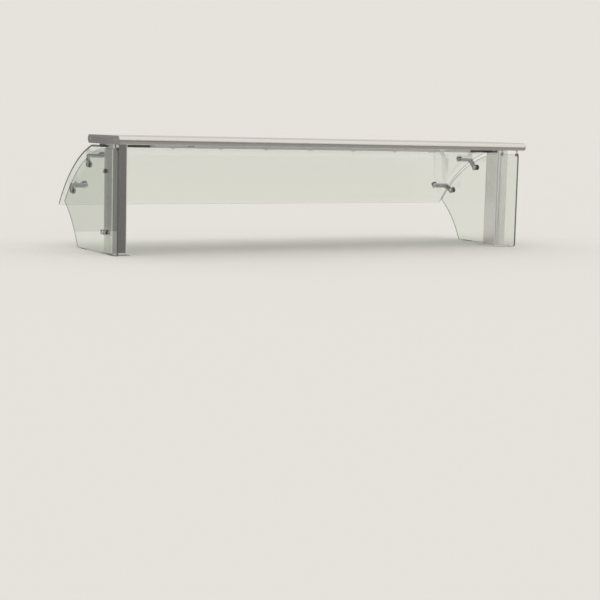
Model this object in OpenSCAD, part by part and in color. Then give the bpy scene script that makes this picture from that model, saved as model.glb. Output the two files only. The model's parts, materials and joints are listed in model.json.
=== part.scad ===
// Sneeze guard for a serving counter.
//
// A stadium-section stainless canopy stands on two box posts. A bent glass hangs from the
// canopy on the customer side and two flat side glasses close the ends. The glasses are tied
// together by four corner clamps. A light bar sits under the canopy.
//
// Frame: X runs along the counter, Y from the server to the customer, Z up.
// The origin is the bottom centre of the whole guard, on the worktop.

/* [Canopy] */
// Length of the canopy along the counter
canopy_l = 2000; // [1600:50:2400]
// Depth of the canopy, over both round edges
canopy_d = 340; // [330:5:380]
// Thickness of the canopy
canopy_h = 35; // [33:1:45]
// Clear height from the worktop to the canopy's underside
clear_h = 445; // [425:5:500]
// Thickness of the folded sheet
sheet_t = 1.2; // [1:0.1:1.5]
// Width of the lips that the sheet turns in below
lip_w = 25; // [25:1:30]

/* [Posts] */
// Distance between the posts' centres
post_pitch = 1900; // [1500:50:2300]
// Width of a post along the counter
post_w = 60; // [55:1:70]
// Depth of a post
post_d = 90; // [80:1:100]
// Wall of a post's tube
post_wall = 2; // [1.5:0.5:3]
// Radius of a post's long edges
post_r = 5; // [4:1:8]
// Distance from the canopy's front edge to a post's front face
post_setback = 104; // [95:1:115]

/* [Base flanges] */
// Thickness of a base flange
base_t = 5; // [4:1:8]
// Length of the bolting tabs ahead of and behind a post
base_tab = 30; // [28:1:40]
// Overhang of a base flange on a post's inner side
base_lip = 8; // [6:1:14]
// Bolt hole diameter
bolt_hole_d = 9; // [7:0.5:11]
// Bolt spacing along the counter
bolt_pitch_x = 40; // [34:1:44]

/* [Curved glass] */
// Thickness of all the glass
glass_t = 8; // [6:1:8]
// Length of the curved glass
curved_l = 2000; // [1600:50:2400]
// Bending radius to the middle of the glass
curve_r = 680; // [640:10:740]
// Slope where the curve leaves the level part, in degrees
curve_start = 14.5; // [13:0.5:16]
// Slope at the lower edge, in degrees
curve_end = 54.7; // [52:0.1:57]
// Distance from the canopy's front edge to the sharp bend
bend_setback = 291; // [286:1:300]
// Width of the level part under the canopy
hanger_w = 87; // [80:1:90]
// Width of the polished bevel along the lower edge
bevel_w = 14; // [8:1:18]

/* [Side glass] */
// Gap between a post and its side glass
side_gap = 3; // [2:0.5:4]
// Distance that a side glass stands ahead of its post
side_lead = 66; // [60:1:75]
// Length of a side glass along the worktop
side_foot = 440; // [400:5:460]
// Height of the point where the two rear curves meet
cusp_z = 187; // [170:1:200]
// Radius of the lower rear curve
scoop_r = 480; // [420:10:560]
// Gap between a side glass and the curved glass
rear_gap = 20; // [18:1:24]

/* [Corner clamps] */
// Slopes of the curved glass where the clamps sit, in degrees
clamp_slopes = [23.5, 44];
// Length of the arm along the curved glass
long_arm = 86; // [76:1:90]
// Length of the arm along the side glass
short_arm = 69; // [64:1:72]
// Skew of the short arm from the curved glass's normal, in degrees
arm_skew = 22; // [15:1:25]
// Diameter of the round pads
pad_d = 26; // [24:1:28]
// Width of the arms
arm_w = 20; // [14:1:22]
// Thickness of the arms
arm_t = 9; // [6:1:10]

/* [Light bar] */
// Length of the light bar
light_l = 1570; // [1000:10:1570]
// Width of the light bar
light_w = 60; // [50:1:64]
// Height of the light bar
light_h = 13; // [12:1:16]
// Distance from the canopy's front edge to the light bar
light_setback = 134; // [125:1:138]

/* [Hidden] */

$fn = 48;
arc_fn = 720;          // facets of the large arcs
over = 1;              // overshoot of a cut
slip = 0.1;            // clearance of a sliding fit

// Rear of the whole guard, measured from the canopy's front edge
bend_r = 20;
reach = bend_setback + (bend_r - curve_r) * sin(curve_start)
    + (curve_r + glass_t / 2) * sin(curve_end);
y_front = -reach / 2;
y_post = y_front + post_setback;
y_post_mid = y_post + post_d / 2;
y_bend = y_front + bend_setback;

// Heights
z_panel = clear_h + sheet_t;              // underside of the bottom panel
z_panel_top = z_panel + sheet_t;
z_canopy_top = clear_h + canopy_h;
hanger_gap = 6;                           // canopy's underside to the curved glass
side_drop = 4;                            // curved glass to the top of the side glass
z_hang_top = clear_h - hanger_gap;
z_hang = z_hang_top - glass_t / 2;
side_lift = 2;                            // rubber under the side glass
z_side_top = z_hang_top - glass_t - side_drop;

// Centre of the curved glass's arc
arc_y = y_bend + (bend_r - curve_r) * sin(curve_start);
arc_z = z_hang - bend_r + (bend_r - curve_r) * cos(curve_start);

// Planes along X
x_post_out = post_pitch / 2 + post_w / 2;
x_side_in = x_post_out + side_gap;
x_side_out = x_side_in + glass_t;
end_cap_t = 2;
x_shell = canopy_l / 2 - end_cap_t;

// Fasteners
bolt_pitch_y = post_d + base_tab;
base_corner_r = 8;
top_plate_t = 8;
top_bolt_x = 16;                          // half spacing of the canopy bolts
top_bolt_y = 28;
m8_head_d = 15;
m8_head_h = 5.3;
washer_r = 8;
washer_t = 1.6;
m8_r = 4;
m6_r = 3;
m5_r = 2.5;
m4_r = 2;
gasket_t = 1.5;
disc_t = 5;
glass_hole_r = 5;
sleeve_r = 4.8;                           // rubber or nylon sleeve in a glass hole
thread_out = 3;                           // thread that stands past its nut

// Hanger fixings
hanger_mid = y_bend - hanger_w / 2 - 6;
hanger_hole_r = 6;
hanger_pitch = 220;
hanger_end = 40;                          // least distance from a post to a hanger screw
hanger_count = floor((post_pitch - post_w - 2 * hanger_end) / hanger_pitch);
backing_w = 40;
backing_t = 5;
hanger_gasket_t = 2;

// Post clips: height of the lower plate and of the upper button
clip_heights = [88, 336];
clip_back = 72;                           // behind the post's front face
clip_l = 56;
clip_w = 20;
plate_t = 3.5;
button_r = 8;
button_t = 3;
rivet_hole_r = 4.5;
rivet_l = 12;

// Cable route
cable_r = 5;
grommet_r = 8;

// ---------- helpers ----------

// Extrudes a (Y, Z) outline along X from x0 to x1
module bar_x(x0, x1) {
    translate([x0, 0, 0]) rotate([90, 0, 90]) linear_extrude(x1 - x0) children();
}

// Repeats its children on the left end
module both_ends() {
    children();
    mirror([1, 0, 0]) children();
}

// A stadium with its lower left bounding corner at the origin
module stadium(l, h) {
    translate([h / 2, h / 2]) circle(d = h);
    translate([l - h / 2, h / 2]) circle(d = h);
    translate([h / 2, 0]) square([l - h, h]);
}

// A rectangle with round corners, centred
module round_rect(w, d, r) {
    square([w - 2 * r, d], center = true);
    square([w, d - 2 * r], center = true);
    for (sx = [-1, 1], sy = [-1, 1])
        translate([sx * (w / 2 - r), sy * (d / 2 - r)]) circle(r);
}

// Centre of the circle of radius r through p and q, on the right of the way from p to q
function centre_through(p, q, r) =
    let (d = q - p, h = norm(d) / 2, n = [d[1], -d[0]] / norm(d))
    (p + q) / 2 + n * sqrt(r * r - h * h);

// A hole of radius r from z = 0 to z = h, with an overshoot at both ends
module hole(r, h) translate([0, 0, -over]) cylinder(r = r, h = h + 2 * over);

// A hole through a glass whose inner face is z = 0
module glass_hole() translate([0, 0, -glass_t]) hole(glass_hole_r, glass_t);

// A pan-headed hex socket screw of shank radius r. Its head hangs below z = 0 and its
// shank rises from there.
module screw(r, l) {
    head_r = 1.95 * r;
    head_h = 1.2 * r;
    rim_h = 0.65 * r;                     // straight part of the head
    socket_r = 0.62 * r;
    socket_depth = 0.7 * r;
    difference() {
        union() {
            cylinder(r = r, h = l);
            translate([0, 0, -rim_h]) cylinder(r = head_r, h = rim_h);
            translate([0, 0, -head_h])
                cylinder(r1 = 0.66 * head_r, r2 = head_r, h = head_h - rim_h);
        }
        translate([0, 0, -head_h - over])
            cylinder(r = socket_r, h = socket_depth + over, $fn = 6);
    }
}

// ---------- posts and bases ----------

module post() {
    difference() {
        translate([0, y_post_mid, base_t]) linear_extrude(z_panel - base_t)
            difference() {
                round_rect(post_w, post_d, post_r);
                round_rect(post_w - 2 * post_wall, post_d - 2 * post_wall,
                    post_r - post_wall);
            }
        for (z = clip_heights) translate([post_w / 2, y_post + clip_back, z])
            rotate([0, 90, 0]) cylinder(r = rivet_hole_r, h = 4 * post_wall, center = true);
    }
}

module left_post() color("silver") mirror([1, 0, 0]) right_post();
module right_post() color("silver") translate([post_pitch / 2, 0, 0]) post();

module base_plate() {
    w = post_w + base_lip;
    translate([x_post_out - w / 2, y_post_mid, 0]) linear_extrude(base_t)
        difference() {
            round_rect(w, post_d + 2 * base_tab, base_corner_r);
            for (sx = [-1, 1], sy = [-1, 1])
                translate([sx * bolt_pitch_x / 2, sy * bolt_pitch_y / 2])
                    circle(d = bolt_hole_d);
        }
}

module left_base_flange() color("silver") mirror([1, 0, 0]) base_plate();

module right_base_flange() color("silver") difference() {
    base_plate();
    translate([post_pitch / 2, y_post_mid, 0]) hole(grommet_r, base_t);
}

module at_top_bolts() {
    for (sx = [-1, 1], sy = [-1, 1])
        translate([post_pitch / 2 + sx * top_bolt_x, y_post_mid + sy * top_bolt_y, 0])
            children();
}

module post_top_plates() color("gray") both_ends() difference() {
    translate([post_pitch / 2, y_post_mid, z_panel - top_plate_t])
        linear_extrude(top_plate_t)
            round_rect(post_w - 2 * (post_wall + slip), post_d - 2 * (post_wall + slip),
                post_r - post_wall);
    translate([0, 0, z_panel - top_plate_t]) {
        at_top_bolts() hole(m8_r, top_plate_t);
        translate([post_pitch / 2, y_post_mid, 0]) hole(grommet_r, top_plate_t);
    }
}

bearer_t = 2;
z_bolt_seat = z_panel_top + bearer_t + washer_t;

module canopy_bolts() color("gainsboro") both_ends() at_top_bolts() {
    translate([0, 0, z_panel - top_plate_t + 1])
        cylinder(r = m8_r, h = z_bolt_seat - z_panel + top_plate_t - 1);
    translate([0, 0, z_bolt_seat]) cylinder(d = m8_head_d, h = m8_head_h, $fn = 6);
}

module canopy_washers() color("gainsboro") both_ends() at_top_bolts()
    translate([0, 0, z_panel_top + bearer_t]) difference() {
        cylinder(r = washer_r, h = washer_t);
        hole(m8_r + 2 * slip, washer_t);
    }

// ---------- canopy ----------

inner_h = canopy_h - 2 * sheet_t;

module canopy_shell() color("silver") bar_x(-x_shell, x_shell)
    translate([y_front, clear_h]) difference() {
        stadium(canopy_d, canopy_h);
        translate([sheet_t, sheet_t]) stadium(canopy_d - 2 * sheet_t, inner_h);
        translate([canopy_h / 2 + lip_w, -over])
            square([canopy_d - canopy_h - 2 * lip_w, sheet_t + 2 * over]);
    }

panel_inset = canopy_h / 2 + 3;
panel_screw_pitch = 240;
panel_screw_end = 80;                     // least distance from a canopy end to a screw
panel_screw_count = floor((canopy_l - 2 * panel_screw_end) / panel_screw_pitch);
lip_mid = canopy_h / 2 + lip_w / 2 + 2;

module at_panel_screws() {
    for (i = [0:panel_screw_count], d = [lip_mid, canopy_d - lip_mid])
        translate([(i - panel_screw_count / 2) * panel_screw_pitch, y_front + d, 0])
            children();
}

module at_hanger_screws() {
    for (i = [0:hanger_count])
        translate([(i - hanger_count / 2) * hanger_pitch, hanger_mid, 0]) children();
}

clip_xs = [-0.4, 0, 0.4] * light_l;
y_light = y_front + light_setback;
y_light_mid = y_light + light_w / 2;
x_light_hole = 0.45 * light_l;
top_clip_l = 10;                          // sits just behind the shell's front lip
top_clip_y = y_front + canopy_h / 2 + lip_w + 1.5 + top_clip_l / 2;
x_side_mid = x_side_in + glass_t / 2;

module canopy_bottom_panel() color("silver") difference() {
    translate([-x_shell + 0.5, y_front + panel_inset, z_panel])
        cube([2 * x_shell - 1, canopy_d - 2 * panel_inset, sheet_t]);
    translate([0, 0, z_panel]) {
        both_ends() at_top_bolts() hole(m8_r + 5 * slip, sheet_t);
        at_hanger_screws() hole(m6_r + 2 * slip, sheet_t);
        at_panel_screws() hole(m4_r, sheet_t);
        both_ends() translate([x_side_mid, top_clip_y, 0]) hole(m5_r + slip, sheet_t);
        for (x = clip_xs) translate([x, y_light_mid, 0]) hole(m4_r, sheet_t);
        translate([post_pitch / 2, y_post_mid, 0]) hole(grommet_r, sheet_t);
        translate([x_light_hole, y_light_mid, 0]) hole(grommet_r, sheet_t);
    }
}

// Their shanks cut their own thread in the shell's lips, which are trimmed off around them
module panel_screws() color("gainsboro") difference() {
    at_panel_screws() translate([0, 0, clear_h - slip / 2]) screw(m4_r - 2 * slip, 9);
    bar_x(-x_shell, x_shell) translate([y_front, clear_h]) difference() {
        stadium(canopy_d, sheet_t);
        for (d = [lip_mid, canopy_d - lip_mid])
            translate([d - m4_r, -over]) square([2 * m4_r, sheet_t + 2 * over]);
    }
}

cap_screw_d = canopy_h / 2 + 15.5;        // from the canopy's edges to the cap screws
cap_rim = 0.8;                            // step around the outer face
cap_stub = 12;                            // depth of the cap's collar inside the shell
cap_wall = 3;                             // inset of the collar's inner face
cap_sink_r = 4.1;                         // countersink in the cap
block_l = 18;
block_w = 22;
cap_screw_l = 28;

module end_cap() difference() {
    union() {
        bar_x(x_shell, canopy_l / 2 - cap_rim)
            translate([y_front, clear_h]) stadium(canopy_d, canopy_h);
        bar_x(x_shell, canopy_l / 2) translate([y_front + cap_rim, clear_h + cap_rim])
            stadium(canopy_d - 2 * cap_rim, canopy_h - 2 * cap_rim);
        bar_x(x_shell - cap_stub, x_shell) difference() {
            translate([y_front + sheet_t + slip, clear_h + sheet_t + slip])
                stadium(canopy_d - 2 * (sheet_t + slip), inner_h - 2 * slip);
            translate([y_front + cap_wall, clear_h + cap_wall])
                stadium(canopy_d - 2 * cap_wall, canopy_h - 2 * cap_wall);
            translate([y_front + panel_inset - over, clear_h])
                square([canopy_d - 2 * (panel_inset - over), cap_wall + over]);
        }
    }
    at_cap_screws() {
        translate([0, 0, -end_cap_t]) hole(m4_r + slip, end_cap_t);
        translate([0, 0, -end_cap_t])
            cylinder(r1 = m4_r, r2 = cap_sink_r, h = end_cap_t + slip / 2);
    }
}

// Right-end positions of the cap screws, with local Z pointing out of the end
module at_cap_screws() {
    for (d = [cap_screw_d, canopy_d - cap_screw_d])
        translate([canopy_l / 2, y_front + d, clear_h + canopy_h / 2])
            rotate([0, 90, 0]) children();
}

module left_end_cap() color("gray") mirror([1, 0, 0]) end_cap();
module right_end_cap() color("gray") end_cap();

module end_cap_blocks() color("gray") both_ends() difference() {
    for (d = [cap_screw_d, canopy_d - cap_screw_d])
        translate([x_shell - cap_stub - 1 - block_l, y_front + d - block_w / 2, z_panel_top])
            cube([block_l, block_w, z_canopy_top - sheet_t - z_panel_top]);
    at_cap_screws() translate([0, 0, -2 * cap_screw_l]) cylinder(r = m4_r, h = 2 * cap_screw_l);
}

module end_cap_screws() color("gainsboro") both_ends() at_cap_screws() difference() {
    union() {
        translate([0, 0, -cap_screw_l]) cylinder(r = m4_r, h = cap_screw_l - end_cap_t + slip);
        translate([0, 0, -end_cap_t]) cylinder(r1 = m4_r, r2 = cap_sink_r - slip, h = end_cap_t);
    }
    translate([0, 0, -0.6 * m4_r]) cylinder(r = 0.62 * m4_r, h = m4_r, $fn = 6);
}

bearer_w = 56;
bearer_d0 = canopy_h / 2 + 30;

module canopy_bearers() color("darkgray") both_ends() difference() {
    translate([post_pitch / 2 - bearer_w / 2, y_front + bearer_d0, z_panel_top])
        difference() {
            cube([bearer_w, canopy_d - 2 * bearer_d0,
                z_canopy_top - sheet_t - z_panel_top]);
            translate([bearer_t, -over, bearer_t])
                cube([bearer_w - 2 * bearer_t, canopy_d, canopy_h]);
        }
    translate([0, 0, z_panel_top]) {
        at_top_bolts() hole(m8_r + 5 * slip, bearer_t);
        translate([post_pitch / 2, y_post_mid, 0]) hole(grommet_r, bearer_t);
    }
}

// ---------- curved glass and its hanger ----------

// End of the curve, with the directions along it and out of it
curve_dir = [cos(curve_end), -sin(curve_end)];
curve_out = [sin(curve_end), cos(curve_end)];
curve_tip = [arc_y, arc_z] + curve_r * curve_out;

// Everything below a surface that lies d above the middle of the glass: the level part,
// the sharp bend, and a sector of the large arc that runs on past the lower edge
module below_glass(d) {
    depth = 400;
    translate([y_bend - hanger_w, z_hang - depth]) square([hanger_w, depth + d]);
    translate([y_bend, z_hang - bend_r]) circle(bend_r + d, $fn = arc_fn);
    translate([arc_y, arc_z]) intersection() {
        circle(curve_r + d, $fn = arc_fn);
        polygon([[0, 0], 2 * curve_r * [sin(curve_start), cos(curve_start)],
            2 * curve_r * [sin(2 * curve_end), cos(2 * curve_end)]]);
    }
}

module curved_glass() color("lightcyan", 0.35) difference() {
    bar_x(-curved_l / 2, curved_l / 2) difference() {
        below_glass(glass_t / 2);
        below_glass(-glass_t / 2);
        past_lower_edge();
        bevel_edge();
    }
    at_hanger_screws() translate([0, 0, z_hang - glass_t / 2]) hole(hanger_hole_r, glass_t);
    both_ends() for (s = clamp_slopes) at_clamp(s) long_pad() glass_hole();
}

// What lies beyond the square-cut lower edge
module past_lower_edge() {
    tip = [arc_y, arc_z];
    polygon([tip + curve_r / 2 * curve_out, tip + 2 * curve_r * curve_out,
        tip + 2 * curve_r * (curve_out + curve_dir), tip + 2 * curve_r * curve_dir,
        tip + curve_r * (curve_dir - curve_out), tip - curve_r * curve_out]);
}

// The wedge that the bevel takes off the inner side of the lower edge
module bevel_edge() {
    depth = glass_t / 2;
    inner = -glass_t / 2 * curve_out;
    polygon([curve_tip + inner - bevel_w * curve_dir,
        curve_tip + inner + depth * curve_out,
        curve_tip + inner + depth * curve_out + 3 * curve_dir,
        curve_tip + inner - 3 * curve_out + 3 * curve_dir,
        curve_tip + inner - 3 * curve_out - bevel_w * curve_dir]);
}

x_backing = post_pitch / 2 - bearer_w / 2 - 4;
x_strip = post_pitch / 2 + 20;
strip_y0 = y_post + post_d + 13;
strip_y1 = y_bend - 5;

module hanger_backing_bar() color("gray") difference() {
    translate([-x_backing, hanger_mid - backing_w / 2, z_panel_top])
        cube([2 * x_backing, backing_w, backing_t]);
    translate([0, 0, z_panel_top]) at_hanger_screws() hole(m6_r, backing_t);
}

// A strip of height h between the canopy and the glass
module hanger_strip(z, h) difference() {
    translate([-x_strip, strip_y0, z]) cube([2 * x_strip, strip_y1 - strip_y0, h]);
    translate([0, 0, z]) at_hanger_screws() hole(m6_r + 2 * slip, h);
}

module hanger_spacer() color("silver")
    hanger_strip(z_hang_top + hanger_gasket_t, z_panel - z_hang_top - hanger_gasket_t);

module hanger_gasket() color("dimgray") hanger_strip(z_hang_top, hanger_gasket_t);

bush_t = 2;
bush_r = 12;
z_bush = z_hang_top - glass_t - bush_t;

module hanger_bushes() color("white") at_hanger_screws()
    translate([0, 0, z_bush]) difference() {
        union() {
            cylinder(r = bush_r, h = bush_t);
            cylinder(r = hanger_hole_r - 2 * slip, h = bush_t + glass_t - 5 * slip);
        }
        hole(m6_r + slip, bush_t + glass_t);
    }

module hanger_screws() color("gainsboro") at_hanger_screws()
    translate([0, 0, z_bush]) screw(m6_r, z_panel_top + backing_t - z_bush + thread_out);

// ---------- side glass ----------

side_r = curve_r - glass_t / 2 - rear_gap;
cusp = [arc_y + sqrt(pow(side_r, 2) - pow(cusp_z - arc_z, 2)), cusp_z];
side_heel = [y_post - side_lead + side_foot, side_lift];
scoop = centre_through(side_heel, cusp, scoop_r);
side_h = z_side_top - side_lift;
side_r0 = 10;                             // radius of the two front corners

module side_outline() difference() {
    intersection() {
        translate([y_post - side_lead, side_lift]) {
            translate([0, side_r0]) square([2 * side_foot, side_h - 2 * side_r0]);
            translate([side_r0, 0]) square([2 * side_foot, side_h]);
            for (z = [side_r0, side_h - side_r0]) translate([side_r0, z]) circle(side_r0);
        }
        translate([arc_y, arc_z]) circle(side_r, $fn = arc_fn);
    }
    translate(scoop) circle(scoop_r, $fn = arc_fn);
}

module side_glass() difference() {
    bar_x(x_side_in, x_side_out) side_outline();
    for (s = clamp_slopes) at_clamp(s) short_pad() glass_hole();
    at_post_clips() hole(glass_hole_r, glass_t);
}

module left_side_glass() color("lightcyan", 0.35) mirror([1, 0, 0]) side_glass();
module right_side_glass() color("lightcyan", 0.35) side_glass();

// ---------- corner clamps ----------

// The corner between a side glass and the curved glass at a slope of the curve.
// Local X runs in along the curved glass, local Y along its inward normal, and local Z
// back up the curve. Both glass faces lie at local zero.
module at_clamp(slope) {
    translate([x_side_in, arc_y + (curve_r - glass_t / 2) * sin(slope),
        arc_z + (curve_r - glass_t / 2) * cos(slope)])
        rotate([90 - slope, 0, 0]) rotate([0, 0, 180]) children();
}

// Pad centres, with local Z pointing off the glass to the inside
module long_pad() {
    translate([long_arm - pad_d / 2, 0, 0]) rotate([-90, 0, 0]) children();
}

module short_pad() {
    reach_in = short_arm - pad_d / 2;
    translate([0, reach_in * cos(arm_skew), reach_in * sin(arm_skew)])
        rotate([0, 90, 0]) children();
}

// One arm as a flat outline from the origin along X to its round pad
module arm_outline(l) {
    translate([l - pad_d / 2, 0]) circle(d = pad_d);
    translate([0, -arm_w / 2]) square([l - pad_d / 2, arm_w]);
    circle(d = arm_w);
}

elbow_r = 8;                              // inside radius where the two arms meet
elbow = arm_t + elbow_r;

module corner_clamp(slope) at_clamp(slope) difference() {
    union() {
        translate([gasket_t + arm_w / 2, gasket_t + arm_t, 0]) rotate([90, 0, 0])
            linear_extrude(arm_t) arm_outline(long_arm - gasket_t - arm_w / 2);
        translate([gasket_t, 0, 0]) rotate([90, 0, 90]) linear_extrude(arm_t)
            translate([arm_w / 2 * cos(arm_skew) + gasket_t, 0]) rotate(arm_skew)
                arm_outline(short_arm - arm_w / 2 - gasket_t / cos(arm_skew));
        translate([gasket_t, gasket_t, -arm_w / 2]) difference() {
            cube([elbow, elbow, arm_w]);
            translate([elbow, elbow, 0]) hole(elbow_r, arm_w);
        }
    }
    long_pad() hole(m6_r + slip, gasket_t + arm_t);
    short_pad() hole(m6_r + slip, gasket_t + arm_t);
}

module upper_left_clamp() color("dimgray") mirror([1, 0, 0]) corner_clamp(clamp_slopes[0]);
module lower_left_clamp() color("dimgray") mirror([1, 0, 0]) corner_clamp(clamp_slopes[1]);
module upper_right_clamp() color("dimgray") corner_clamp(clamp_slopes[0]);
module lower_right_clamp() color("dimgray") corner_clamp(clamp_slopes[1]);

// All eight pads, with local Z pointing off the glass to the inside
module at_pads() {
    both_ends() for (s = clamp_slopes) at_clamp(s) {
        long_pad() children();
        short_pad() children();
    }
}

z_disc = -glass_t - gasket_t - disc_t;    // outer face of a disc, from the inner glass face
disc_skin = 1.5;                          // bevelled face of a disc, which the thread ends at
curve_slip = 0.02;                        // sagitta of the curved glass under a pad

module clamp_discs() color("dimgray") at_pads() difference() {
    union() {
        translate([0, 0, z_disc + disc_skin]) cylinder(d = pad_d, h = disc_t - disc_skin);
        translate([0, 0, z_disc]) cylinder(d1 = pad_d - 4, d2 = pad_d, h = disc_skin);
    }
    translate([0, 0, z_disc + disc_skin]) cylinder(r = m6_r, h = disc_t);
}

module clamp_gaskets() color("black") at_pads() {
    difference() {
        union() {
            translate([0, 0, 1.5 * slip]) cylinder(d = pad_d - 1, h = gasket_t - 1.5 * slip);
            translate([0, 0, 2 * slip - glass_t]) cylinder(r = sleeve_r, h = glass_t);
        }
        translate([0, 0, -glass_t]) hole(m6_r + slip, glass_t + gasket_t);
    }
    translate([0, 0, -glass_t - gasket_t]) difference() {
        cylinder(d = pad_d - 1, h = gasket_t - curve_slip);
        hole(m6_r + slip, gasket_t);
    }
}

module clamp_screws() color("gainsboro") at_pads()
    translate([0, 0, gasket_t + arm_t]) rotate([180, 0, 0])
        screw(m6_r, arm_t + gasket_t - z_disc - disc_skin - 5 * slip);

// ---------- post clips ----------

// Clip positions on the right post, with local Z pointing in from the outer glass face
module at_post_clips() {
    for (z = clip_heights) translate([x_side_out, y_post + clip_back, z])
        rotate([0, -90, 0]) children();
}

module post_clip_plates() color("dimgray") both_ends() {
    at_post_clip(0) difference() {
        translate([0, 0, -gasket_t - plate_t]) linear_extrude(plate_t)
            translate([-clip_w / 2, -clip_l / 2]) rotate(90) translate([0, -clip_w])
                stadium(clip_l, clip_w);
        translate([0, 0, -gasket_t - plate_t]) hole(m6_r + slip, plate_t);
    }
    at_post_clip(1) translate([0, 0, -gasket_t - button_t]) difference() {
        cylinder(r = button_r, h = button_t);
        hole(m6_r + slip, button_t);
    }
}

module at_post_clip(i) {
    translate([x_side_out, y_post + clip_back, clip_heights[i]])
        rotate([0, -90, 0]) children();
}

module post_clip_spacers() color("black") both_ends() at_post_clips() difference() {
    union() {
        translate([0, 0, glass_t]) cylinder(r = button_r + 1, h = side_gap);
        cylinder(r = sleeve_r, h = glass_t + over);
        translate([0, 0, -gasket_t]) cylinder(r = button_r - 0.5, h = gasket_t);
    }
    translate([0, 0, -gasket_t]) hole(m6_r + slip, gasket_t + glass_t + side_gap);
}

module post_clip_screws() color("gainsboro") both_ends() {
    for (i = [0, 1]) {
        seat = gasket_t + [plate_t, button_t][i];
        at_post_clip(i) translate([0, 0, -seat])
            screw(m6_r, seat + glass_t + side_gap + rivet_l - 1);
    }
}

module post_rivet_nuts() color("gray") both_ends() at_post_clips()
    translate([0, 0, glass_t + side_gap]) difference() {
        union() {
            cylinder(r = rivet_hole_r - slip / 2, h = rivet_l);
            translate([0, 0, post_wall]) cylinder(r = 2 * m6_r, h = m6_r);
        }
        hole(m6_r, rivet_l);
    }

// ---------- top clips and setting blocks ----------

top_clip_w = 13;
top_clip_grip = 8;                        // how far the saddle reaches down the glass
top_clip_web = 4;
liner_t = 1;
z_saddle_in = z_side_top + liner_t;
z_saddle_top = z_saddle_in + top_clip_web;

// A (X, Z) outline of the clip, extruded along Y
module top_clip_bar(l) {
    translate([x_side_mid, top_clip_y + l / 2, 0]) rotate([90, 0, 0])
        linear_extrude(l) children();
}

module side_glass_top_clips() color("dimgray") both_ends() difference() {
    top_clip_bar(top_clip_l) difference() {
        translate([-top_clip_w / 2, z_side_top - top_clip_grip])
            square([top_clip_w, z_saddle_top - z_side_top + top_clip_grip]);
        translate([-glass_t / 2 - liner_t, z_side_top - top_clip_grip - over])
            square([glass_t + 2 * liner_t, top_clip_grip + over + liner_t]);
    }
    translate([x_side_mid, top_clip_y, z_saddle_in]) hole(m5_r, top_clip_web);
}

module top_clip_liners() color("black") both_ends() top_clip_bar(top_clip_l - 2 * slip)
    difference() {
        translate([-glass_t / 2 - liner_t + curve_slip, z_side_top - top_clip_grip + 1])
            square([glass_t + 2 * (liner_t - curve_slip),
                top_clip_grip - 1 + liner_t - curve_slip]);
        translate([-glass_t / 2, z_side_top - top_clip_grip - over])
            square([glass_t, top_clip_grip + over]);
    }

module top_clip_spacers() color("gainsboro") both_ends()
    translate([x_side_mid, top_clip_y, z_saddle_top]) difference() {
        cylinder(r = top_clip_l / 2 - 0.5, h = z_panel - z_saddle_top);
        hole(m5_r + slip, z_panel - z_saddle_top);
    }

module top_clip_screws() color("gainsboro") both_ends()
    translate([x_side_mid, top_clip_y, z_panel_top]) mirror([0, 0, 1])
        screw(m5_r, z_panel_top - z_saddle_in - 5 * slip);

rest_l = 60;

module side_glass_blocks() color("black") both_ends()
    for (y = [y_post - side_lead + 40, side_heel[0] - 40 - rest_l])
        translate([x_side_in - 0.5, y, 0]) cube([glass_t + 1, rest_l, side_lift]);

// ---------- light bar ----------

light_cap_t = 2;
light_wall = 1.5;
light_lip = 3;
x_light = light_l / 2 - light_cap_t;
z_light = clear_h - light_h;
diffuser_t = 2;

module light_housing() color("lightgray") difference() {
    bar_x(-x_light, x_light) translate([y_light, z_light]) difference() {
        square([light_w, light_h]);
        translate([light_wall, light_wall])
            square([light_w - 2 * light_wall, light_h - 2 * light_wall]);
        translate([light_wall + light_lip, -over])
            square([light_w - 2 * (light_wall + light_lip), light_wall + 2 * over]);
    }
    translate([x_light_hole, y_light_mid, clear_h - light_wall]) hole(cable_r + 1, light_wall);
}

module light_diffuser() color("whitesmoke") bar_x(-x_light + 0.5, x_light - 0.5)
    translate([y_light + light_wall + 3 * slip, z_light + light_wall])
        square([light_w - 2 * (light_wall + 3 * slip), diffuser_t]);

tongue = [6, light_w - 2 * light_wall - 4 * slip, 3];
tongue_lift = light_wall + diffuser_t + 5 * slip;

module light_end_caps() color("lightgray") both_ends() {
    translate([x_light, y_light, z_light]) cube([light_cap_t, light_w, light_h]);
    translate([x_light - tongue[0], y_light_mid - tongue[1] / 2, z_light + tongue_lift])
        cube(tongue);
}

// Spring clips of folded strip: a bridge above the housing and a leg down each side of it
bridge_t = sheet_t;
clip_strip = 30;
leg_t = 1;
leg_l = 7;
leg_gap = 0.2;

module light_clips() color("gainsboro") for (x = clip_xs) difference() {
    union() {
        translate([x - clip_strip / 2, y_light_mid - light_w / 2 - leg_gap - leg_t, clear_h])
            cube([clip_strip, light_w + 2 * (leg_gap + leg_t), bridge_t]);
        for (side = [-1, 1])
            translate([x, y_light_mid + side * (light_w / 2 + leg_gap + leg_t / 2),
                clear_h - leg_l / 2 + slip])
                cube([clip_strip, leg_t, leg_l], center = true);
    }
    translate([x, y_light_mid, clear_h]) hole(m4_r, bridge_t);
}

module light_clip_screws() color("gainsboro") for (x = clip_xs)
    translate([x, y_light_mid, z_panel_top]) mirror([0, 0, 1])
        screw(m4_r, sheet_t + bridge_t - slip);

board_t = 1.6;
board_w = 20;
board_end = 10;                           // housing's end to the board
chip = [5, 5, 1];
chip_pitch = 60;
chip_count = floor((light_l - chip_pitch) / chip_pitch);
z_board = clear_h - light_wall - board_t;

module led_board() color("white") difference() {
    translate([-x_light + board_end, y_light_mid - board_w / 2, z_board])
        cube([2 * (x_light - board_end), board_w, board_t]);
    translate([x_light_hole, y_light_mid, z_board]) hole(m6_r, board_t);
}

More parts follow.
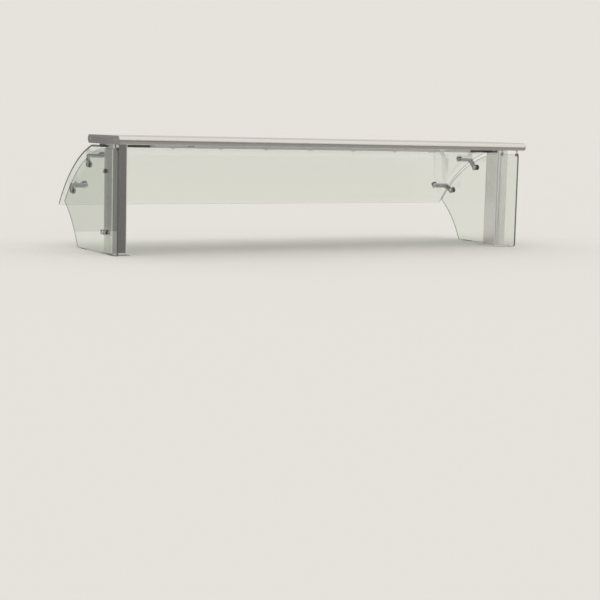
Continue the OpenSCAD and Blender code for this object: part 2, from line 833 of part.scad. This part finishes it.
module led_chips() color("khaki") for (i = [0:chip_count])
    translate([(i - chip_count / 2) * chip_pitch - chip[0] / 2, y_light_mid - chip[1] / 2,
        z_board - chip[2]]) cube(chip);

// ---------- electrics inside the canopy ----------

driver = [180, 42, 20];
foot_l = 12;                              // screwed foot at each end of the driver
foot_t = 3;
driver_screw_r = 1.6;
x_driver = post_pitch / 2 - bearer_w / 2 - 40 - driver[0];
y_driver = y_front + panel_inset + 18;

module at_driver_screws() {
    for (x = [foot_l / 2, driver[0] - foot_l / 2])
        translate([x_driver + x, y_driver + driver[1] / 2, z_panel_top]) children();
}

module led_driver() color("white") difference() {
    translate([x_driver, y_driver, z_panel_top]) {
        translate([foot_l, 0, 0]) cube([driver[0] - 2 * foot_l, driver[1], driver[2]]);
        cube([driver[0], driver[1], foot_t]);
    }
    at_driver_screws() hole(driver_screw_r + slip, foot_t);
}

module driver_screws() color("gainsboro") at_driver_screws()
    translate([0, 0, foot_t]) mirror([0, 0, 1]) screw(driver_screw_r, foot_t - slip);

// Three wire entries open upwards in the terminal block
block = [36, 22, 15];
entry_r = 2.5;
entry_floor = 6;

module terminal_block() color("ivory")
    translate([x_driver - foot_l * 2 - block[0], y_driver + 6, z_panel_top]) difference() {
        cube(block);
        for (i = [1, 3, 5]) translate([i * block[0] / 6, block[1] / 2, entry_floor])
            cylinder(r = entry_r, h = block[2]);
    }

// A rubber bush that fills the hole in a sheet of thickness t, with a flange on top of it
module grommet(t) {
    flange_t = 1.6;
    difference() {
        union() {
            cylinder(r = grommet_r - slip / 2, h = t);
            translate([0, 0, t]) cylinder(r = grommet_r + 2, h = flange_t);
        }
        hole(cable_r, t + flange_t);
    }
}

module canopy_grommet() color("black")
    translate([x_light_hole, y_light_mid, z_panel]) grommet(sheet_t);

module base_grommet() color("black") translate([post_pitch / 2, y_post_mid, 0])
    grommet(base_t);

// ---------- assembly ----------

left_post();
right_post();
left_base_flange();
right_base_flange();
post_top_plates();
canopy_bolts();
canopy_washers();
canopy_shell();
canopy_bottom_panel();
panel_screws();
left_end_cap();
right_end_cap();
end_cap_blocks();
end_cap_screws();
canopy_bearers();
curved_glass();
left_side_glass();
right_side_glass();
hanger_backing_bar();
hanger_spacer();
hanger_gasket();
hanger_bushes();
hanger_screws();
upper_left_clamp();
lower_left_clamp();
upper_right_clamp();
lower_right_clamp();
clamp_discs();
clamp_gaskets();
clamp_screws();
post_clip_plates();
post_clip_spacers();
post_clip_screws();
post_rivet_nuts();
side_glass_top_clips();
top_clip_liners();
top_clip_spacers();
top_clip_screws();
side_glass_blocks();
light_housing();
light_diffuser();
light_end_caps();
light_clips();
light_clip_screws();
led_board();
led_chips();
led_driver();
driver_screws();
terminal_block();
canopy_grommet();
base_grommet();
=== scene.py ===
"""Looks of the sneeze guard: materials, softened edges, studio and camera.

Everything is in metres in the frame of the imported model: X along the counter, Y from the
server to the customer, Z up from the worktop.
"""

import json
import math

import bmesh
import bpy
from mathutils import Matrix, Vector


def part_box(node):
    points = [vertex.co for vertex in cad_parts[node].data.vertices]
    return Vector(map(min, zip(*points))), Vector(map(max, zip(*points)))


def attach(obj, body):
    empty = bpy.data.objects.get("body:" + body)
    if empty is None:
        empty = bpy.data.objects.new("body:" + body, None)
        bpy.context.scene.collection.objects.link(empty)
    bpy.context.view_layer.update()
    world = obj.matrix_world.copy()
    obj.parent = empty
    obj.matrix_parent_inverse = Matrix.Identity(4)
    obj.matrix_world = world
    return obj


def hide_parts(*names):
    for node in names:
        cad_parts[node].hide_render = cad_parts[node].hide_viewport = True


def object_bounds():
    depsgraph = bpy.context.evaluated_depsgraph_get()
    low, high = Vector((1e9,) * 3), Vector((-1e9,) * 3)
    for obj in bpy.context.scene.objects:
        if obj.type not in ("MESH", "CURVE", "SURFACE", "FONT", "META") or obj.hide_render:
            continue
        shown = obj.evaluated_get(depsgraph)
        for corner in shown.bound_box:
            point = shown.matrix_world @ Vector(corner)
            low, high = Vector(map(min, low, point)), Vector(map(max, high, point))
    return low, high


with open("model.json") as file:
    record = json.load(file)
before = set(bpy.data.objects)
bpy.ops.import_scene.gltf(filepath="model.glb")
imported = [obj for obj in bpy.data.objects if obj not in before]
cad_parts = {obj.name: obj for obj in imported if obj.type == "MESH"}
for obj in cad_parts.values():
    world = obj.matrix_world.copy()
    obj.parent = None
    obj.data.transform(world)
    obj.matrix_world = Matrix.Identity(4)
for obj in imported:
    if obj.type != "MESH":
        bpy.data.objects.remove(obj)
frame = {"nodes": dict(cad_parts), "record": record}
NODES = frame["nodes"]
CAD_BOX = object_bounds()
SLOT_OF = {s["node"]: s["material_slot"] for s in frame["record"]["subparts"]}

# ---------- camera ----------

CAM_PLACE = (-3.1805, -5.6823, 0.5473)
CAM_YAW, CAM_PITCH, CAM_ROLL = 29.415, -6.944, 1.430   # degrees
CAM_LENS = 87.2                                        # mm on a 36 mm sensor


def make_camera():
    data = bpy.data.cameras.new("camera")
    data.lens, data.sensor_width = CAM_LENS, 36
    data.clip_start, data.clip_end = 0.1, 200
    cam = bpy.data.objects.new("camera", data)
    cam.rotation_mode = "QUATERNION"
    yaw = Matrix.Rotation(math.radians(-CAM_YAW), 4, "Z")
    pitch = Matrix.Rotation(math.radians(90 + CAM_PITCH), 4, "X")
    roll = Matrix.Rotation(math.radians(CAM_ROLL), 4, "Z")
    cam.matrix_world = Matrix.Translation(CAM_PLACE) @ yaw @ pitch @ roll
    bpy.context.scene.collection.objects.link(cam)
    bpy.context.scene.camera = cam


make_camera()

# ---------- node tree helpers ----------

FLAT_POINT, EDGE_POINT = 0.502, 0.56   # pointiness of a flat face and of a broken edge


class Tree:
    """Adds nodes to a shader tree. Inputs are given by name, as values or as sockets."""

    def __init__(self, tree):
        self.tree = tree

    def feed(self, socket, value):
        if isinstance(value, bpy.types.NodeSocket):
            self.tree.links.new(value, socket)
        else:
            socket.default_value = value

    def add(self, kind, **inputs):
        node = self.tree.nodes.new(kind)
        for key, value in inputs.items():
            self.feed(node.inputs[key.replace("_", " ")], value)
        return node

    def math(self, operation, a, b=0.0):
        node = self.tree.nodes.new("ShaderNodeMath")
        node.operation = operation
        self.feed(node.inputs[0], a)
        self.feed(node.inputs[1], b)
        return node.outputs[0]

    def spread(self, value, low, high, start=0.3, end=0.7, smooth=False):
        """Maps a value from start..end onto low..high."""
        node = self.add("ShaderNodeMapRange", Value=value)
        node.interpolation_type = "SMOOTHSTEP" if smooth else "LINEAR"
        for key, number in (("From Min", start), ("From Max", end), ("To Min", low), ("To Max", high)):
            node.inputs[key].default_value = number
        return node.outputs["Result"]

    def mixed(self, factor, shader, other):
        node = self.tree.nodes.new("ShaderNodeMixShader")
        for socket, value in zip(node.inputs, (factor, shader.outputs[0], other.outputs[0])):
            self.feed(socket, value)
        return node.outputs[0]


class Finish(Tree):
    """One material: a Principled shader and the patterns that feed it."""

    def __init__(self, name):
        self.mat = bpy.data.materials.new(name)
        self.mat.use_nodes = True
        super().__init__(self.mat.node_tree)
        self.shader = self.tree.nodes["Principled BSDF"]
        self.out = self.tree.nodes["Material Output"]
        self.place = self.add("ShaderNodeTexCoord").outputs["Object"]

    def set(self, **inputs):
        for key, value in inputs.items():
            self.feed(self.shader.inputs[key.replace("_", " ")], value)

    def noise(self, scale, detail=3.0, roughness=0.6, stretch=(1, 1, 1)):
        """A noise with about that many features per metre, times the stretch along each axis."""
        where = self.add("ShaderNodeMapping", Vector=self.place, Scale=stretch).outputs["Vector"]
        return self.add("ShaderNodeTexNoise", Vector=where, Scale=scale, Detail=detail,
                        Roughness=roughness).outputs["Fac"]

    def tint(self, factor, dark, light):
        node = self.tree.nodes.new("ShaderNodeMix")
        node.data_type = "RGBA"
        self.feed(node.inputs["Factor"], factor)
        for socket, colour in ((node.inputs[6], dark), (node.inputs[7], light)):
            self.feed(socket, colour if isinstance(colour, bpy.types.NodeSocket) else (*colour, 1))
        return node.outputs[2]

    def bump(self, height, distance, strength):
        """Relief of that height in metres."""
        node = self.add("ShaderNodeBump", Height=height, Distance=distance, Strength=strength)
        self.set(Normal=node.outputs["Normal"])

    def edges(self):
        """1 along convex edges, 0 on flat faces."""
        point = self.add("ShaderNodeNewGeometry").outputs["Pointiness"]
        return self.spread(point, 0.0, 1.0, FLAT_POINT, EDGE_POINT)


# ---------- materials ----------

# Heights of the relief in each finish, in metres
BRUSHED_RELIEF, METAL_RELIEF, MOULDED_RELIEF, GROUND_RELIEF = 0.00004, 0.00002, 0.00003, 0.00002
SMUDGE = 0.008                     # roughness that a hand smudge adds to brushed metal
SCRATCH = 0.08                     # roughness that a scratch adds to smooth metal
HAZE = 0.012                       # roughness of the haziest patch of glass


def grain(axis, along=0.3, across=60.0):
    """The stretch of a brushed grain that runs along one axis."""
    return tuple(along if a == axis else across for a in "XYZ")


def brushed_metal(name, dark, light, axis, roughness=(0.2, 0.32), anisotropy=0.5, turn=None,
                  metallic=1.0):
    """Metal with a brushed grain along an axis and faint hand smudges."""
    m = Finish(name)
    lines = m.noise(14, 6, 0.75, grain(axis))
    fine = m.noise(40, 4, 0.8, grain(axis))
    smudges = m.noise(9, 3, 0.5)
    m.set(Base_Color=m.tint(m.spread(lines, 0, 1), dark, light), Metallic=metallic,
          Anisotropic=anisotropy)
    m.set(Roughness=m.math("ADD", m.spread(lines, *roughness), m.spread(smudges, 0.0, SMUDGE, 0.5, 0.8)))
    m.bump(m.math("ADD", lines, m.math("MULTIPLY", fine, 0.5)), BRUSHED_RELIEF, 0.5)
    if turn:
        tangent = m.add("ShaderNodeTangent")
        tangent.direction_type, tangent.axis = "RADIAL", turn
        m.set(Tangent=tangent.outputs["Tangent"])
    return m.mat


def plain_metal(name, dark, light, roughness, wear=(0.5, 0.5, 0.49), scale=40):
    """Smooth metal with a faint cloud, fine scratches and rubbed edges."""
    m = Finish(name)
    cloud = m.noise(scale, 4)
    scratches = m.noise(90, 5, 0.8, (1, 12, 3))
    rubbed = m.math("MULTIPLY", m.edges(), m.spread(m.noise(120, 3), 0.0, 0.7))
    m.set(Base_Color=m.tint(rubbed, m.tint(cloud, dark, light), wear), Metallic=1.0)
    m.set(Roughness=m.math("ADD", m.spread(m.noise(scale * 4, 3), *roughness),
                           m.spread(scratches, 0.0, SCRATCH, 0.55, 0.75)))
    m.bump(m.math("ADD", m.noise(900, 2), scratches), METAL_RELIEF, 0.4)
    return m.mat


def plastic(name, dark, light, roughness, scale=60):
    """Moulded plastic or rubber: a faint mottle and a fine moulded grain."""
    m = Finish(name)
    m.set(Base_Color=m.tint(m.noise(scale, 4), dark, light), Metallic=0.0,
          Roughness=m.spread(m.noise(scale * 3, 3), *roughness))
    m.bump(m.noise(1500, 3), MOULDED_RELIEF, 0.5)
    return m.mat


def clear_glass(name):
    """Float glass: nearly clear through its faces, dark grey-green along its edges."""
    m = Finish(name)
    m.set(Base_Color=(0.967, 0.967, 0.943, 1), Transmission_Weight=1.0, IOR=1.5)
    m.set(Roughness=m.spread(m.noise(7, 4, 0.5), 0.0, HAZE, 0.55, 0.8))
    absorb = m.add("ShaderNodeVolumeAbsorption", Color=(0.20, 0.50, 0.32, 1), Density=10.0)
    m.feed(m.out.inputs["Volume"], absorb.outputs[0])
    return m.mat


def ground_glass_painted_dark(name):
    """The ground and polished rim of the glass. Its dark grey-green is partly the glass's own tint and
    partly painted shade, which stands in for light absorbed along the glass.
    """
    m = Finish(name)
    # Dark grey-green base colour: the glass's own green tint plus painted shade for the light the glass
    # absorbs along its length
    m.set(Base_Color=m.tint(m.noise(60, 4), (0.115, 0.13, 0.12), (0.135, 0.153, 0.142)), IOR=1.5)
    m.set(Roughness=m.spread(m.noise(200, 3), 0.18, 0.32))
    m.bump(m.noise(700, 3), GROUND_RELIEF, 0.4)
    return m.mat


# Rim finish of the glasses, with painted shade in its dark grey-green
GLASS_RIM_PAINTED_DARK = ground_glass_painted_dark("glass_rim_painted_dark")
MATERIALS = {
    "brushed_stainless": brushed_metal("post_steel", (0.64, 0.63, 0.61), (0.74, 0.73, 0.71), "Z",
                                       (0.13, 0.2), 0.3, "Z"),
    "canopy_stainless": brushed_metal("canopy_steel", (0.70, 0.68, 0.65), (0.78, 0.757, 0.72), "X",
                                      turn="X"),
    # End caps: the canopy's stainless steel painted about half as bright, as painted shade on the end
    # faces
    "end_cap_stainless": brushed_metal("end_cap_steel_painted_shade", (0.34, 0.335, 0.32), (0.44, 0.43, 0.41), "Y",
                                       anisotropy=0.0),
    "inner_steel": plain_metal("inner_steel", (0.42, 0.42, 0.43), (0.52, 0.52, 0.52), (0.35, 0.5)),
    "clear_glass": clear_glass("clear_glass"),
    # Clamp metal: its dark tint is painted shade, standing in for the dark surroundings that polished
    # chrome reflects
    "clamp_metal": plain_metal("clamp_metal", (0.29, 0.29, 0.285), (0.40, 0.40, 0.39), (0.15, 0.3),
                               (0.5, 0.5, 0.49)),
    "bright_fasteners": plain_metal("bright_fasteners", (0.70, 0.70, 0.69), (0.8, 0.8, 0.79), (0.15, 0.25),
                                    (0.85, 0.85, 0.84)),
    "black_rubber": plastic("black_rubber", (0.07, 0.07, 0.068), (0.10, 0.10, 0.098), (0.6, 0.8)),
    "white_nylon": plastic("white_nylon", (0.78, 0.78, 0.74), (0.85, 0.85, 0.82), (0.35, 0.5)),
    "opal_diffuser": plastic("opal_diffuser", (0.84, 0.84, 0.81), (0.9, 0.9, 0.87), (0.3, 0.42)),
    "light_aluminium": brushed_metal("light_aluminium", (0.76, 0.76, 0.74), (0.82, 0.82, 0.80), "X",
                                     (0.4, 0.5), 0.0, metallic=0.5),
    "white_plastic": plastic("white_plastic", (0.76, 0.76, 0.73), (0.83, 0.83, 0.8), (0.35, 0.5)),
    "led_phosphor": plastic("led_phosphor", (0.75, 0.66, 0.22), (0.85, 0.77, 0.32), (0.2, 0.3)),
}

for name, obj in NODES.items():
    obj.data.materials.clear()
    obj.data.materials.append(MATERIALS[SLOT_OF[name]])

# ---------- softened edges ----------

MERGE = 1e-6                       # metres between points that are the same
ARRIS = 0.0008                     # ground off the edges of the flat glasses
FLAT = math.radians(0.5)           # faces closer than this are one face
SHARP = math.radians(28)           # edges sharper than this are broken


def merged(name):
    """A CAD node's mesh with its facets joined into whole faces."""
    bm = bmesh.new()
    bm.from_mesh(NODES[name].data)
    bmesh.ops.remove_doubles(bm, verts=bm.verts, dist=MERGE)
    bmesh.ops.dissolve_limit(bm, angle_limit=FLAT, verts=bm.verts, edges=bm.edges)
    return bm


def as_mesh(bm):
    mesh = bpy.data.meshes.new("finished")
    bm.to_mesh(mesh)
    bm.free()
    mesh.shade_smooth()
    return mesh


def stand_in(name, mesh):
    """Makes the mesh a piece that stands for the CAD node."""
    mesh.materials.clear()
    piece = bpy.data.objects.new(name + "_finished", mesh)
    bpy.context.scene.collection.objects.link(piece)
    mesh.materials.append(MATERIALS[SLOT_OF[name]])
    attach(piece, "root")
    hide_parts(name)
    return piece


def softened(name, width):
    """Rounds a metal or plastic node's sharp edges, as deburring or moulding does."""
    piece = stand_in(name, as_mesh(merged(name)))
    bevel = piece.modifiers.new("edges", "BEVEL")
    bevel.width, bevel.segments = width, 3
    bevel.limit_method, bevel.angle_limit = "ANGLE", SHARP
    bevel.harden_normals = True
    joined = piece.modifiers.new("joined", "WELD")
    joined.merge_threshold = MERGE


def give_glass_rim_painted_dark(piece, is_rim):
    """Gives the ground finish, with its painted shade, to the narrow faces of a glass, picked by their
    normal.
    """
    piece.data.materials.append(GLASS_RIM_PAINTED_DARK)
    for face in piece.data.polygons:
        face.material_index = int(is_rim(face.normal))


def flat_glass(name):
    """A flat glass with an arris ground along its edges."""
    bm = merged(name)
    sharp = [e for e in bm.edges if e.calc_face_angle(0) > SHARP]
    bmesh.ops.bevel(bm, geom=sharp, offset=ARRIS, segments=1, affect="EDGES", clamp_overlap=True)
    piece = stand_in(name, as_mesh(bm))
    piece.data.set_sharp_from_angle(angle=SHARP)
    give_glass_rim_painted_dark(piece, lambda n: abs(n.x) < 0.9)
    return piece


def bent_glass(name):
    """The bent glass keeps the CAD mesh and its exact normals, which its refraction needs. Its rim
    is the two ends, the front edge, and the lower edge, whose normal points out and down."""
    piece = stand_in(name, NODES[name].data.copy())
    give_glass_rim_painted_dark(piece, lambda n: abs(n.x) > 0.5 or abs(n.y) > 0.93 or n.y * n.z < -0.1)
    return piece


SOFTENED = {                       # radius in metres, and the nodes it suits
    0.0012: ["upper_left_clamp", "lower_left_clamp", "upper_right_clamp", "lower_right_clamp"],
    0.0006: ["left_base_flange", "right_base_flange", "post_clip_plates", "side_glass_top_clips",
             "light_end_caps"],
    0.0004: ["left_end_cap", "right_end_cap", "light_housing", "clamp_discs"],
    0.0003: ["clamp_screws", "post_clip_screws", "hanger_screws", "end_cap_screws", "hanger_bushes",
             "top_clip_spacers"],
}
for width, names in SOFTENED.items():
    for name in names:
        softened(name, width)
for pane in (bent_glass("curved_glass"), flat_glass("left_side_glass"), flat_glass("right_side_glass")):
    pane.visible_shadow = False        # clear glass throws no dark shadow

# ---------- weld beads ----------

POST_CORNER = 0.005                # outer corner radius of a post
BEAD, RIPPLE = 0.0028, 0.0024      # size of a bead and length of one ripple
RIPPLE_DEPTH = 0.12                # share of the bead's size
BEAD_ROOT = BEAD / 8               # how far a bead reaches into post and flange
BEAD_SIDES = 5                     # faces across a bead
BEAD_SHARP = math.radians(60)      # sharper edges than this are shaded sharp
WELD_STEEL = plain_metal("weld_steel", (0.44, 0.43, 0.41), (0.56, 0.55, 0.53), (0.25, 0.4))


def foot_line(half_x, half_y, step):
    """Corner centres and outward angles along a post's front, +X side and back."""
    a, b = half_x - POST_CORNER, half_y - POST_CORNER
    front_out, front_in, back_in, back_out = (Vector(c) for c in ((-a, -b), (a, -b), (a, b), (-a, b)))
    legs = ((front_out, front_in, -90, -90), (front_in, front_in, -90, 0), (front_in, back_in, 0, 0),
            (back_in, back_in, 0, 90), (back_in, back_out, 90, 90))
    for start, end, turn, turned in legs:
        length = (end - start).length + math.radians(turned - turn) * POST_CORNER
        count = math.ceil(length / step)
        for i in range(count):
            yield start.lerp(end, i / count), math.radians(turn + (turned - turn) * i / count)


def weld_bead(post, inner):
    """A rippled fillet where a post stands on its flange. The flush outer side has none."""
    low, high = (Vector(corner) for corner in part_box(post))
    middle, half = (low + high) / 2, (high - low) / 2
    step = RIPPLE / 4
    arc = [math.radians(90 * k / BEAD_SIDES) for k in range(BEAD_SIDES + 1)]
    bm = bmesh.new()
    rings = []
    for i, (centre, turn) in enumerate(foot_line(half.x, half.y, step)):
        size = BEAD * (1 + RIPPLE_DEPTH * math.sin(math.tau * i * step / RIPPLE))
        section = [(size * math.sin(a), size * math.cos(a)) for a in arc] + [(-BEAD_ROOT, -BEAD_ROOT)]
        ring = []
        for out, up in section:
            x = centre.x + math.cos(turn) * (POST_CORNER + out)
            y = centre.y + math.sin(turn) * (POST_CORNER + out)
            ring.append(bm.verts.new((middle.x + inner * x, middle.y + y, low.z + up)))
        rings.append(ring)
    for ring, after in zip(rings, rings[1:]):
        for k in range(len(ring)):
            bm.faces.new((ring[k], ring[k - 1], after[k - 1], after[k]))
    for ring in (rings[0], rings[-1]):
        bm.faces.new(ring)
    bmesh.ops.recalc_face_normals(bm, faces=bm.faces)
    mesh = as_mesh(bm)
    mesh.set_sharp_from_angle(angle=BEAD_SHARP)
    mesh.materials.append(WELD_STEEL)
    bead = bpy.data.objects.new(post + "_weld_bead", mesh)
    bpy.context.scene.collection.objects.link(bead)
    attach(bead, "root")


weld_bead("left_post", 1)
weld_bead("right_post", -1)

# ---------- studio ----------

FLOOR_HALF = 60.0
MIRRORED_FLOOR = (0.5, -0.2, 0.6)  # how far beyond the guard's ends, server and customer sides
FLOOR_COLOUR = (0.773, 0.760, 0.731)   # looks the same as the backdrop in this light
BACKGROUND = (0.787, 0.766, 0.712)
SOFTBOX = (1.0, 0.985, 0.95)

# What metal and glass mirror: brightness of each part of the studio
DARK_SIDE, WORKTOP_SIDE, WALL_SIDE, LIT_SIDE = 0.18, 0.38, 0.66, 0.98
CUSTOMER_SIDE = 0.2                # added to the dark side behind the guard
LEFT_CORNER = 0.18                 # taken from the lit side behind the guard's left end

# Where the parts change over, as X, Y or Z of a direction of length 1
WORKTOP_Z, LEVEL_Z = -0.65, -0.15
CUSTOMER_Y = (0.1, 0.5)
AHEAD_X, BETWEEN_X, ASIDE_X = 0.34, 0.51, 0.62

# The softbox's lower rim: its softness, and how far it sinks for directions ahead and aside
RIM = 0.12
AHEAD_TILT, ASIDE_TILT, DIAGONAL_TILT = -0.21, 0.19, 2.0

# X times Y of a direction, from the left corner behind the guard to the wall at the right
LEFT_DIAGONAL, WALL_DIAGONAL = (-0.48, -0.2), (0.05, 0.3)


def make_floor():
    """A plain pale floor. Metal and glass mirror only the part of it round the guard."""
    bm = bmesh.new()
    bmesh.ops.create_grid(bm, x_segments=8, y_segments=8, size=FLOOR_HALF)
    mesh = bpy.data.meshes.new("floor")
    bm.to_mesh(mesh)
    bm.free()
    floor = bpy.data.objects.new("floor", mesh)
    bpy.context.scene.collection.objects.link(floor)
    m = Finish("floor_paint")
    x, y, _ = m.add("ShaderNodeSeparateXYZ", Vector=m.place).outputs
    (low_x, low_y, _), (high_x, high_y, _) = CAD_BOX
    ends, server, customer = MIRRORED_FLOOR
    far = m.math("GREATER_THAN", x, high_x + ends)
    far = m.math("MAXIMUM", far, m.math("GREATER_THAN", y, high_y + customer))
    for axis, limit in ((x, low_x - ends), (y, low_y - server)):
        far = m.math("MAXIMUM", far, m.math("LESS_THAN", axis, limit))
    mirrored = m.add("ShaderNodeLightPath").outputs["Glossy Depth"]
    gone = m.math("MINIMUM", m.math("MULTIPLY", far, mirrored), 1.0)
    matt = m.add("ShaderNodeBsdfDiffuse", Color=(*FLOOR_COLOUR, 1))
    clear = m.add("ShaderNodeBsdfTransparent")
    m.feed(m.out.inputs["Surface"], m.mixed(gone, matt, clear))
    mesh.materials.append(m.mat)


def make_world():
    """A plain pale backdrop. Metal reflects a dark studio with a large bright softbox overhead,
    whose lower rim tilts with the direction along the counter."""
    world = bpy.data.worlds.new("studio")
    world.use_nodes = True
    bpy.context.scene.world = world
    t = Tree(world.node_tree)
    direction = t.add("ShaderNodeTexCoord").outputs["Generated"]
    x, y, z = t.add("ShaderNodeSeparateXYZ", Vector=direction).outputs
    diagonal = t.math("MULTIPLY", x, y)
    aside = t.math("ABSOLUTE", x)
    ahead_tilt = t.spread(aside, AHEAD_TILT, 0.0, AHEAD_X, BETWEEN_X)
    aside_tilt = t.spread(aside, 0.0, ASIDE_TILT, BETWEEN_X, ASIDE_X)
    tilt = t.math("ADD", ahead_tilt, aside_tilt)
    sunk = t.math("MULTIPLY", t.math("MAXIMUM", diagonal, 0.0), DIAGONAL_TILT)
    height = t.math("ADD", z, t.math("ADD", tilt, sunk))
    rim = t.spread(height, 0.0, 1.0, -RIM, RIM, smooth=True)
    customer = t.spread(y, 0.0, CUSTOMER_SIDE, *CUSTOMER_Y)
    dark = t.math("ADD", customer, t.spread(z, WORKTOP_SIDE, DARK_SIDE, WORKTOP_Z, LEVEL_Z))
    corner = t.math("MULTIPLY", t.spread(diagonal, LEFT_CORNER, 0.0, *LEFT_DIAGONAL),
                    t.math("GREATER_THAN", y, 0.0))
    lit = t.math("SUBTRACT", t.spread(diagonal, LIT_SIDE, WALL_SIDE, *WALL_DIAGONAL), corner)
    glow = t.math("ADD", dark, t.math("MULTIPLY", rim, t.math("SUBTRACT", lit, dark)))
    box = t.add("ShaderNodeBackground", Color=(*SOFTBOX, 1), Strength=glow)
    plain = t.add("ShaderNodeBackground", Color=(*BACKGROUND, 1), Strength=1.0)
    ray = t.add("ShaderNodeLightPath").outputs
    bounced = t.math("MINIMUM", t.math("ADD", ray["Glossy Depth"], ray["Diffuse Depth"]), 1.0)
    through = t.math("MULTIPLY", ray["Is Transmission Ray"], t.math("SUBTRACT", 1.0, bounced))
    seen = t.math("MAXIMUM", ray["Is Camera Ray"], through)
    t.feed(t.tree.nodes["World Output"].inputs["Surface"], t.mixed(seen, box, plain))


def make_sun(name, strength, azimuth, elevation, softness):
    """A sun whose angles are in degrees. Azimuth 0 shines from the server's side."""
    data = bpy.data.lights.new(name, "SUN")
    data.energy, data.angle = strength, math.radians(softness)
    sun = bpy.data.objects.new(name, data)
    a, e = math.radians(azimuth), math.radians(elevation)
    to_light = Vector((math.sin(a) * math.cos(e), -math.cos(a) * math.cos(e), math.sin(e)))
    sun.rotation_mode = "QUATERNION"
    sun.rotation_quaternion = (-to_light).to_track_quat("-Z", "Y")
    bpy.context.scene.collection.objects.link(sun)


make_floor()
make_world()
make_sun("key", strength=0.4, azimuth=-30, elevation=65, softness=40)

bpy.context.scene.view_settings.view_transform = "Standard"
